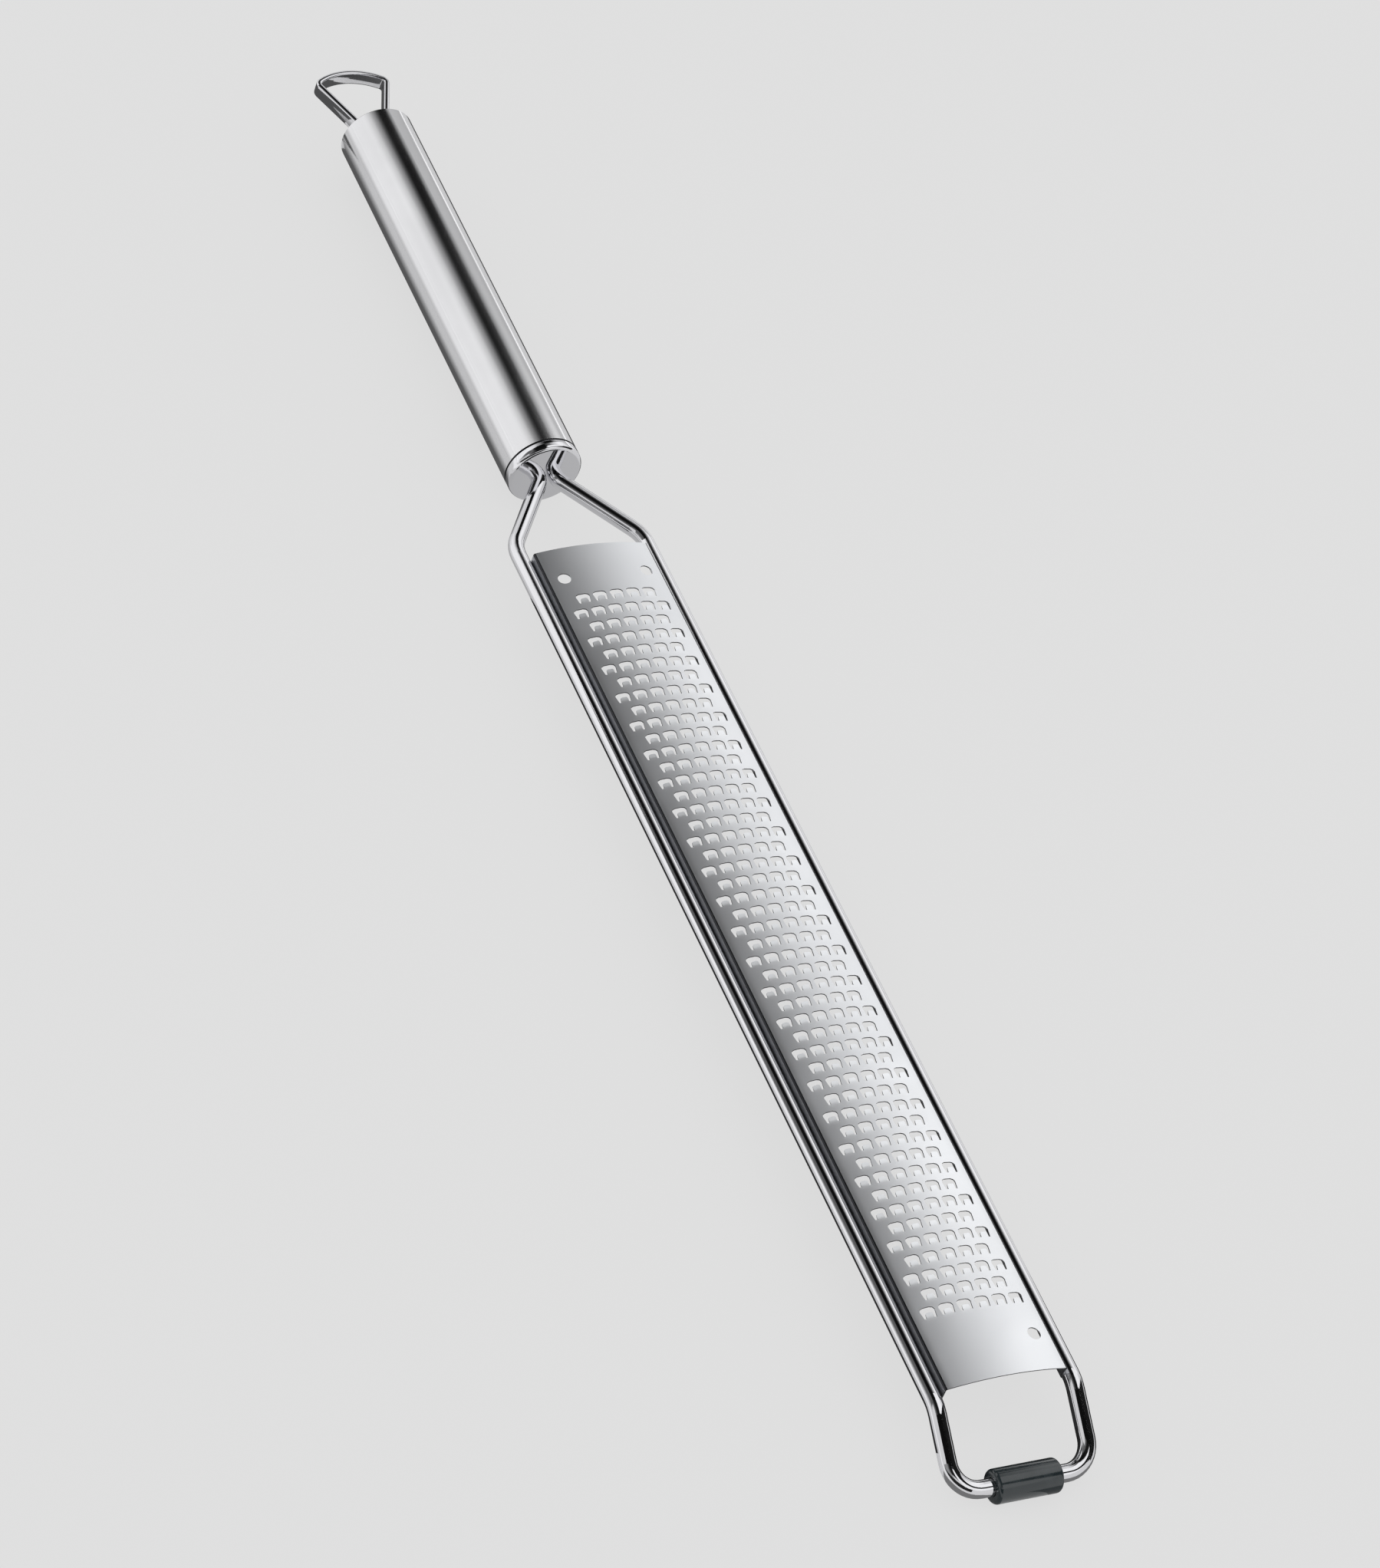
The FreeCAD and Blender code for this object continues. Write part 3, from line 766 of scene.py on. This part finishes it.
    def punch(self, bm: bmesh.types.BMesh) -> None:
        """Fill every cell of the flat sheet with its tooth or its round hole."""
        reach, segments = self.tooth_pitch / 2, self.hole_segments
        ring = bmesh.ops.create_circle(bm, radius=self.hole_radius, segments=segments)["verts"]
        circle = [vert.co.copy() for vert in ring]
        bmesh.ops.delete(bm, geom=ring, context="VERTS")
        patterns = [(self.fill_cell(bm, -reach, reach, circle), self.holes())]
        teeth = []
        for row in range(self.rows):
            count = self.teeth_in(row)
            for column in range(count):
                teeth.append(((column - (count - 1) / 2) * self.tooth_pitch, self.root_of(row)))
        patterns.append((self.make_tooth_cell(bm), teeth))
        for cell, places in patterns:
            for x, y in places:
                copied = bmesh.ops.duplicate(bm, geom=cell)["geom"]
                verts = [item for item in copied if isinstance(item, bmesh.types.BMVert)]
                bmesh.ops.translate(bm, vec=(x, y, 0.0), verts=verts)
            unused = [item for item in cell if isinstance(item, bmesh.types.BMVert)]
            bmesh.ops.delete(bm, geom=unused, context="VERTS")
        bmesh.ops.remove_doubles(bm, verts=bm.verts, dist=100 * CLOSE)

    def thicken(self, bm: bmesh.types.BMesh) -> None:
        """Give the flat sheet its thickness, and grind the teeth from below."""
        solid = bmesh.ops.extrude_face_region(bm, geom=bm.faces[:], use_keep_orig=True)["geom"]
        lower = [item for item in solid if isinstance(item, bmesh.types.BMVert)]
        bmesh.ops.translate(bm, vec=(0.0, 0.0, -self.thickness), verts=lower)
        for vert in lower:
            lift = (vert.co.z + self.thickness) / self.tooth_rise
            vert.co.z += max(lift, 0.0) * (self.thickness - self.tooth_edge)
        bmesh.ops.recalc_face_normals(bm, faces=bm.faces)

    def form(self, place: Vector) -> Vector:
        """Bend one place of the flat sheet into the crown, a side bend or a flange."""
        across, lift = abs(place.x), place.z
        half = self.width / 2
        if across <= self.bend_start + CLOSE:
            angle = math.asin(across / self.radius)
            x = (self.radius + lift) * math.sin(angle)
            z = self.centre + (self.radius + lift) * math.cos(angle)
        elif across <= self.bend_end + CLOSE:
            angle = self.bend_angle + (across - self.bend_start) / self.bend_radius
            x = half - self.bend_radius + (self.bend_radius + lift) * math.sin(angle)
            z = self.bend_height + (self.bend_radius + lift) * math.cos(angle)
        else:
            x, z = half + lift, self.bend_height - (across - self.bend_end)
        return Vector((math.copysign(x, place.x), place.y, z))

    def build(self, finishes: tuple[bpy.types.Material, ...]) -> bpy.types.Object:
        """Build the blade in place of its plain solid.

        Args:
            finishes: The finishes of the grating face, of the side bends and of the flanges; those
                of the bends and flanges are darkened as painted shade.

        Returns:
            The finished piece.
        """
        bm = self.start_sheet()
        self.punch(bm)
        self.thicken(bm)
        # The side bends and the flanges take darker finishes: painted shade.
        for item in bm.faces:
            across = abs(item.calc_center_median().x)
            item.material_index = int(across > self.bend_start) + int(across > self.bend_end)
        for vert in bm.verts:
            vert.co = self.form(vert.co)
        low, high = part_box("grating_blade")
        grip_low, grip_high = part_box("handle_tube")
        axis = (grip_low.z + grip_high.z) / 2
        bmesh.ops.translate(bm, vec=(0.0, high.y / MM, axis / MM), verts=bm.verts)
        piece = finish_mesh("blade_with_teeth", bm, finishes)
        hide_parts("grating_blade")
        return piece


def cover(low: Place, high: Place) -> Rows:
    """Lay out the rows of a rectangular card from two of its corners."""
    return ((low, (high[0], low[1])), ((low[0], high[1]), high))


def reach_back(far: tuple[Place, ...], near: float) -> Rows:
    """Lay out the rows of a card from its far row and how far along its near row is."""
    return (tuple((x, near) for x, _ in far), far)


@dataclass(frozen=True)
class Card:
    """A level card that only reflections see: rows of places, and a shade for each column.

    The places are in units, so that a card's place is in shares of its height where both are
    the same.
    """

    name: str
    rows: Rows
    shades: tuple[float, ...]
    height: float = 2.5
    unit: float = 2.5

    def build(self) -> bpy.types.Object:
        """Hang the card.

        Returns:
            The card, which lights nothing and hides nothing from the camera.
        """
        bm = bmesh.new()
        shade = bm.verts.layers.float.new("shade")
        lines = []
        for row in self.rows:
            places = [(x * self.unit, y * self.unit, self.height) for x, y in row]
            lines.append([bm.verts.new(place) for place in places])
            for vert, value in zip(lines[-1], self.shades):
                vert[shade] = value
        for near, far in zip(lines, lines[1:]):
            for left in range(len(near) - 1):
                bm.faces.new((near[left], near[left + 1], far[left + 1], far[left]))
        card = stage_mesh(self.name, bm, self.build_face())
        card.visible_camera = False
        card.visible_diffuse = False
        card.visible_shadow = False
        return card

    def build_face(self) -> bpy.types.Material:
        """Make a surface that shines as bright as the card's own shades say, where 1 is white."""
        material = bpy.data.materials.new(f"{self.name}_face")
        material.use_nodes = True
        tree = material.node_tree
        tree.nodes.clear()
        shade = add_node(tree, "Attribute", attribute_name="shade")
        glow = add_node(tree, "Emission")
        out = add_node(tree, "OutputMaterial")
        tree.links.new(shade.outputs["Fac"], glow.inputs["Strength"])
        tree.links.new(glow.outputs["Emission"], out.inputs["Surface"])
        return material


def shade_on_floor(
    name: str, low: Place, high: Place, shades: tuple[float, float], height: float = UNDER
) -> Card:
    """Lay out a rectangular card just over the floor, in metres, which reflections see as painted
    shadow.

    Args:
        name: Name of the card.
        low: Its near corner on the left.
        high: Its far corner on the right.
        shades: Its shade on the left and on the right.
        height: How high it lies.

    Returns:
        The card.
    """
    return Card(name, cover(low, high), shades, height, unit=1.0)


def stage_mesh(name: str, bm: bmesh.types.BMesh, material: bpy.types.Material) -> bpy.types.Object:
    """Turn a mesh in metres into a part of the studio.

    Args:
        name: Name of the object.
        bm: The mesh. It is freed here.
        material: Its finish.

    Returns:
        The object.
    """
    mesh = bpy.data.meshes.new(name)
    bm.to_mesh(mesh)
    bm.free()
    thing = bpy.data.objects.new(name, mesh)
    bpy.context.scene.collection.objects.link(thing)
    dress(thing, material)
    return thing


HIGH_BORDER = (
    (-8.0, 4.1), (-0.95, 1.0), (-0.75, 0.88), (-0.43, 0.83), (-0.3, 0.82), (-0.13, 0.8),
    (0.0, 0.8), (0.15, 0.81), (0.52, 0.9), (0.62, 0.94), (0.79, 1.02), (1.07, 1.17),
    (1.7, 1.58), (2.75, 2.34), (8.0, 6.5),
)
LOW_BORDER = (
    (-8.0, 4.1), (-3.0, 1.9), (-2.0, 1.46), (-1.5, 1.24), (-0.95, 1.0), (-0.75, 0.88),
    (-0.55, 0.85), (-0.48, 0.84), (0.05, 0.8), (0.3, 0.84), (0.52, 0.9), (1.0, 1.13),
    (1.5, 1.46), (3.0, 2.5), (8.0, 6.5),
)
FAR_EDGE = ((-8.0, 8.0), (-1.0, 8.0), (0.0, 8.0), (1.2, 8.0))
TOP_EDGE = ((-1.1, 0.12), (-0.75, 0.12), (-0.45, 0.12), (0.03, 0.12), (0.12, 0.12))
SKY_CARDS = (
    Card(
        "high_sweep",
        (
            HIGH_BORDER,
            tuple((x, max(y, 1.7 if 0.0 <= x <= 0.62 else 1.35)) for x, y in HIGH_BORDER),
        ),
        (
            1.05, 1.05, 0.97, 0.75, 0.5, 0.29, 0.09, 0.005,
            0.005, 0.01, 0.25, 0.45, 0.6, 0.42, 0.5,
        ),
        height=2.6,
    ),
    Card(
        "low_sweep",
        (tuple((x, 0.1 if x < 0.3 else 0.34) for x, _ in LOW_BORDER), LOW_BORDER),
        (
            0.9, 0.5, 0.22, 0.15, 0.12, 0.14, 0.02, 0.005,
            0.005, 0.16, 0.62, 1.1, 1.05, 0.65, 0.6,
        ),
        height=2.58,
    ),
    Card(
        "far_white",
        reach_back(FAR_EDGE, 1.3),
        (1.05, 1.0, 0.7, 0.7),
        height=2.62,
    ),
    Card("far_grey", cover((1.2, 1.1), (8.0, 8.0)), (0.6, 0.42), height=2.62),
    Card("top_white", cover((0.12, -0.42), (1.2, 0.34)), (1.05, 1.05), height=2.56),
    Card("front_white", cover((0.12, -1.5), (1.0, -0.58)), (1.0, 1.0), height=2.56),
    Card("front_grey", cover((-6.0, -1.5), (-0.6, -0.7)), (0.25, 0.3), height=2.56),
    Card("front_wall", cover((-8.0, -9.0), (0.45, -1.5)), (0.02, 0.02), height=2.6),
    Card(
        "top_black",
        reach_back(TOP_EDGE, -1.06),
        (0.3, 0.1, 0.01, 0.01, 0.7),
        height=2.52,
    ),
    Card(
        "front_black",
        (
            ((-1.05, -0.66), (0.1, -0.66), (0.35, -0.62), (0.7, -0.72), (6.0, -3.2)),
            ((-1.05, -0.42), (0.1, -0.4), (0.35, -0.42), (0.7, -0.32), (6.0, 1.2)),
        ),
        (0.005, 0.005, 0.005, 0.01, 0.02),
        height=2.5,
    ),
)
RIM_CARDS = (
    Card(
        "right_rim",
        (((7.0, 3.0), (60.0, 20.0)), ((7.0, 12.0), (60.0, 90.0))),
        (1.4, 1.4),
        height=0.08,
        unit=0.08,
    ),
    Card(
        "left_rim",
        (((-60.0, 20.0), (-7.0, 2.0)), ((-60.0, 90.0), (-7.0, 12.0))),
        (1.1, 1.1),
        height=0.08,
        unit=0.08,
    ),
)
# The shade cards lie just over the floor and only reflections see them: painted shadow under and
# beside the zester.
FLOOR_CARDS = (
    Card(
        "white_on_the_left",
        (
            ((-5.0, -1.5), (-0.08, -0.3), (-0.04, -0.3)),
            ((-5.0, 8.0), (-0.08, 0.6), (-0.04, 0.6)),
        ),
        (1.0, 1.0, 0.62),
        height=UNDER / 2,
        unit=1.0,
    ),
    shade_on_floor("shade_under_loop", (-0.03, 0.209), (-0.002, 0.24), (0.09, 0.09)),
    shade_on_floor("shade_beside_loop", (-0.002, 0.2112), (0.03, 0.24), (0.09, 0.09)),
    shade_on_floor("shade_left_of_foot", (-0.035, -0.234), (-0.006, -0.212), (0.2, 0.2)),
    shade_on_floor("shade_right_of_foot", (0.006, -0.234), (0.035, -0.216), (0.2, 0.2)),
    Card(
        "shade_under_grip",
        (
            ((-0.022, 0.078), (-0.013, 0.078), (0.014, 0.078), (0.036, 0.078), (0.042, 0.078)),
            ((-0.022, 0.215), (-0.013, 0.205), (0.014, 0.205), (0.036, 0.25), (0.042, 0.25)),
        ),
        (0.62, 0.12, 0.05, 0.04, 0.5),
        height=UNDER,
        unit=1.0,
    ),
    shade_on_floor("shade_under_neck", (-0.03, 0.046), (0.03, 0.078), (0.46, 0.54)),
    shade_on_floor("shade_under_blade", (-0.03, -0.204), (0.03, 0.046), (0.03, 0.03)),
    shade_on_floor("shade_under_foot", (-0.012, -0.216), (0.8, -0.16), (0.02, 0.03), UNDER / 2),
)


@dataclass
class Studio:
    """Pale floor, even surroundings, a soft lamp and cards that only reflections see."""

    pale: float = 0.745
    fill: float = 0.92
    floor_reach: float = 12.0
    shadow_lift: float = 0.9
    shadow_lift_in_gloss: float = 0.25
    lamp_place: Vector = Vector((-2.6, 1.6, 1.5))
    lamp_size: float = 2.6
    lamp_radiance: float = 0.6

    def see_through(
        self, tree: bpy.types.NodeTree, camera: float, gloss: float
    ) -> bpy.types.NodeSocket:
        """Weigh the rays that look at the background, straight or by way of metal.

        Args:
            tree: Node tree that takes the nodes.
            camera: Weight of rays from the camera.
            gloss: Weight of rays that a surface has reflected or let through.

        Returns:
            The socket with the weight.
        """
        path = add_node(tree, "LightPath")
        direct = add_node(tree, "Math", operation="MULTIPLY")
        direct.inputs[1].default_value = camera
        bounced = add_node(tree, "Math", operation="MAXIMUM")
        weighed = add_node(tree, "Math", operation="MULTIPLY_ADD")
        weighed.inputs[1].default_value = gloss
        link = tree.links.new
        link(path.outputs["Is Camera Ray"], direct.inputs[0])
        link(path.outputs["Is Glossy Ray"], bounced.inputs[0])
        link(path.outputs["Is Transmission Ray"], bounced.inputs[1])
        link(bounced.outputs["Value"], weighed.inputs[0])
        link(direct.outputs["Value"], weighed.inputs[2])
        return weighed.outputs["Value"]

    def build_floor(self) -> None:
        """Make the floor, level with the underside of the foot."""
        material = bpy.data.materials.new("pale_floor")
        material.use_nodes = True
        tree = material.node_tree
        tree.nodes.clear()
        paint = add_node(tree, "BsdfDiffuse")
        paint.inputs["Color"].default_value = opaque((self.pale,) * 3)
        glow = add_node(tree, "Emission")
        glow.inputs["Color"].default_value = opaque((self.pale,) * 3)
        mixed = add_node(tree, "MixShader")
        out = add_node(tree, "OutputMaterial")
        link = tree.links.new
        lift = self.see_through(tree, self.shadow_lift, self.shadow_lift_in_gloss)
        link(lift, mixed.inputs["Fac"])
        link(paint.outputs["BSDF"], mixed.inputs[1])
        link(glow.outputs["Emission"], mixed.inputs[2])
        link(mixed.outputs["Shader"], out.inputs["Surface"])
        bm = bmesh.new()
        bmesh.ops.create_circle(bm, cap_ends=True, radius=self.floor_reach, segments=96)
        stage_mesh("floor", bm, material)

    def build_surroundings(self) -> None:
        """Light the zester evenly from all round."""
        world = bpy.data.worlds.new("pale_room")
        world.use_nodes = True
        tree = world.node_tree
        background = tree.nodes["Background"]
        strength = add_node(tree, "MapRange")
        strength.inputs["To Min"].default_value = self.fill
        strength.inputs["To Max"].default_value = self.pale
        tree.links.new(self.see_through(tree, 1.0, 1.0), strength.inputs["Value"])
        tree.links.new(strength.outputs["Result"], background.inputs["Strength"])
        background.inputs["Color"].default_value = opaque((1.0, 1.0, 1.0))
        bpy.context.scene.world = world

    def add_lamp(self) -> None:
        """Add the soft square lamp, which faces the zester."""
        data = bpy.data.lights.new("left_softbox", "AREA")
        data.shape = "SQUARE"
        data.size = self.lamp_size
        data.energy = self.lamp_radiance * math.pi * self.lamp_size**2
        lamp = bpy.data.objects.new("left_softbox", data)
        lamp.location = self.lamp_place
        lamp.rotation_euler = self.lamp_place.to_track_quat("Z", "Y").to_euler()
        bpy.context.scene.collection.objects.link(lamp)
        lamp.visible_camera = False
        lamp.visible_glossy = False

    def build(self) -> None:
        """Build the whole studio."""
        self.build_floor()
        self.build_surroundings()
        for card in SKY_CARDS + RIM_CARDS + FLOOR_CARDS:
            card.build()
        self.add_lamp()


@dataclass
class Viewpoint:
    """The photograph's camera."""

    place: Vector = Vector((-0.54605, -0.70988, 0.8663))
    turn: Vector = Vector((43.5001, -15.6357, -22.5757))
    focal_length: float = 121.6
    sensor: float = 36.0
    nearest: float = 0.05
    farthest: float = 60.0

    def build(self) -> None:
        """Make the camera and look through it."""
        data = bpy.data.cameras.new("photo_view")
        data.sensor_width = self.sensor
        data.lens = self.focal_length
        data.clip_start, data.clip_end = self.nearest, self.farthest
        camera = bpy.data.objects.new("photo_view", data)
        camera.location = self.place
        camera.rotation_euler = Euler([math.radians(angle) for angle in self.turn], "XYZ")
        bpy.context.scene.collection.objects.link(camera)
        bpy.context.scene.camera = camera


POLISHED = MetalFinish(
    name="polished_steel_mirror",
    clean=(0.79, 0.79, 0.815),
    dulled=(0.765, 0.765, 0.785),
    roughness=0.045,
    dulled_roughness=0.09,
    lay=Lay.POLISHED,
    grain_depth=4e-7,
    deep_lines=0.2,
)
BRUSHED = MetalFinish(
    name="grip_steel_brushed",
    clean=(0.75, 0.75, 0.765),
    dulled=(0.72, 0.72, 0.735),
    roughness=0.125,
    dulled_roughness=0.15,
    grain_depth=8e-7,
    deep_lines=0.2,
)
SATIN = MetalFinish(
    name="blade_steel_satin",
    clean=(0.925, 0.94, 0.965),
    dulled=(0.9, 0.915, 0.94),
    roughness=0.32,
    dulled_roughness=0.37,
)
# Near-black steel on the blade's side bends is painted shade along the bends.
BEND_PAINTED_SHADE = MetalFinish(
    name="bend_steel_painted_shade",
    clean=(0.05, 0.05, 0.055),
    dulled=(0.04, 0.04, 0.045),
    roughness=0.28,
    dulled_roughness=0.4,
)
# Darker steel on the blade's flanges is painted shade in the crevice beside the wire rails.
FLANGE_PAINTED_SHADE = MetalFinish(
    name="flange_steel_painted_shade",
    clean=(0.56, 0.57, 0.59),
    dulled=(0.5, 0.51, 0.53),
    roughness=0.3,
    dulled_roughness=0.4,
)
# Near-black steel inside the cap's groove is painted shade in the recess.
GROOVE_PAINTED_SHADE = MetalFinish(
    name="groove_steel_painted_shade",
    clean=(0.06, 0.06, 0.065),
    dulled=(0.04, 0.04, 0.045),
    roughness=0.35,
    dulled_roughness=0.5,
)


class Zester:
    """The whole tool: its finishes, the solids it keeps and the pieces it rebuilds."""

    def __init__(self) -> None:
        """Build the finishes."""
        effects = Effects()
        self.polished = POLISHED.build(effects)
        self.brushed = BRUSHED.build(effects)
        self.sheet = tuple(finish.build(effects) for finish in (SATIN, BEND_PAINTED_SHADE, FLANGE_PAINTED_SHADE))
        self.groove = GROOVE_PAINTED_SHADE.build(effects)
        self.rubber = SleeveFinish().build(effects)

    def build(self) -> None:
        """Dress the solids that stay and build the other pieces."""
        finishes = {
            "handle_tube": self.brushed,
            "rear_end_cap": self.polished,
            "frame_wire": self.polished,
        }
        for node, material in finishes.items():
            dress(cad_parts[node], material)
            LOG.info("%s keeps its solid", node)
        built = (
            GratingBlade().build(self.sheet),
            FrontCap().build(self.polished, self.groove),
            HangingLoop().build(self.polished),
            FootSleeve().build(self.rubber),
        )
        for piece in built:
            LOG.info("%s has %d faces", piece.name, len(piece.data.polygons))


def main() -> None:
    """Build the zester, its studio and the camera."""
    logging.basicConfig(level=logging.INFO, format="%(name)s: %(message)s")
    bpy.context.scene.view_settings.view_transform = "Standard"
    Zester().build()
    Studio().build()
    Viewpoint().build()


if __name__ == "__main__":
    main()
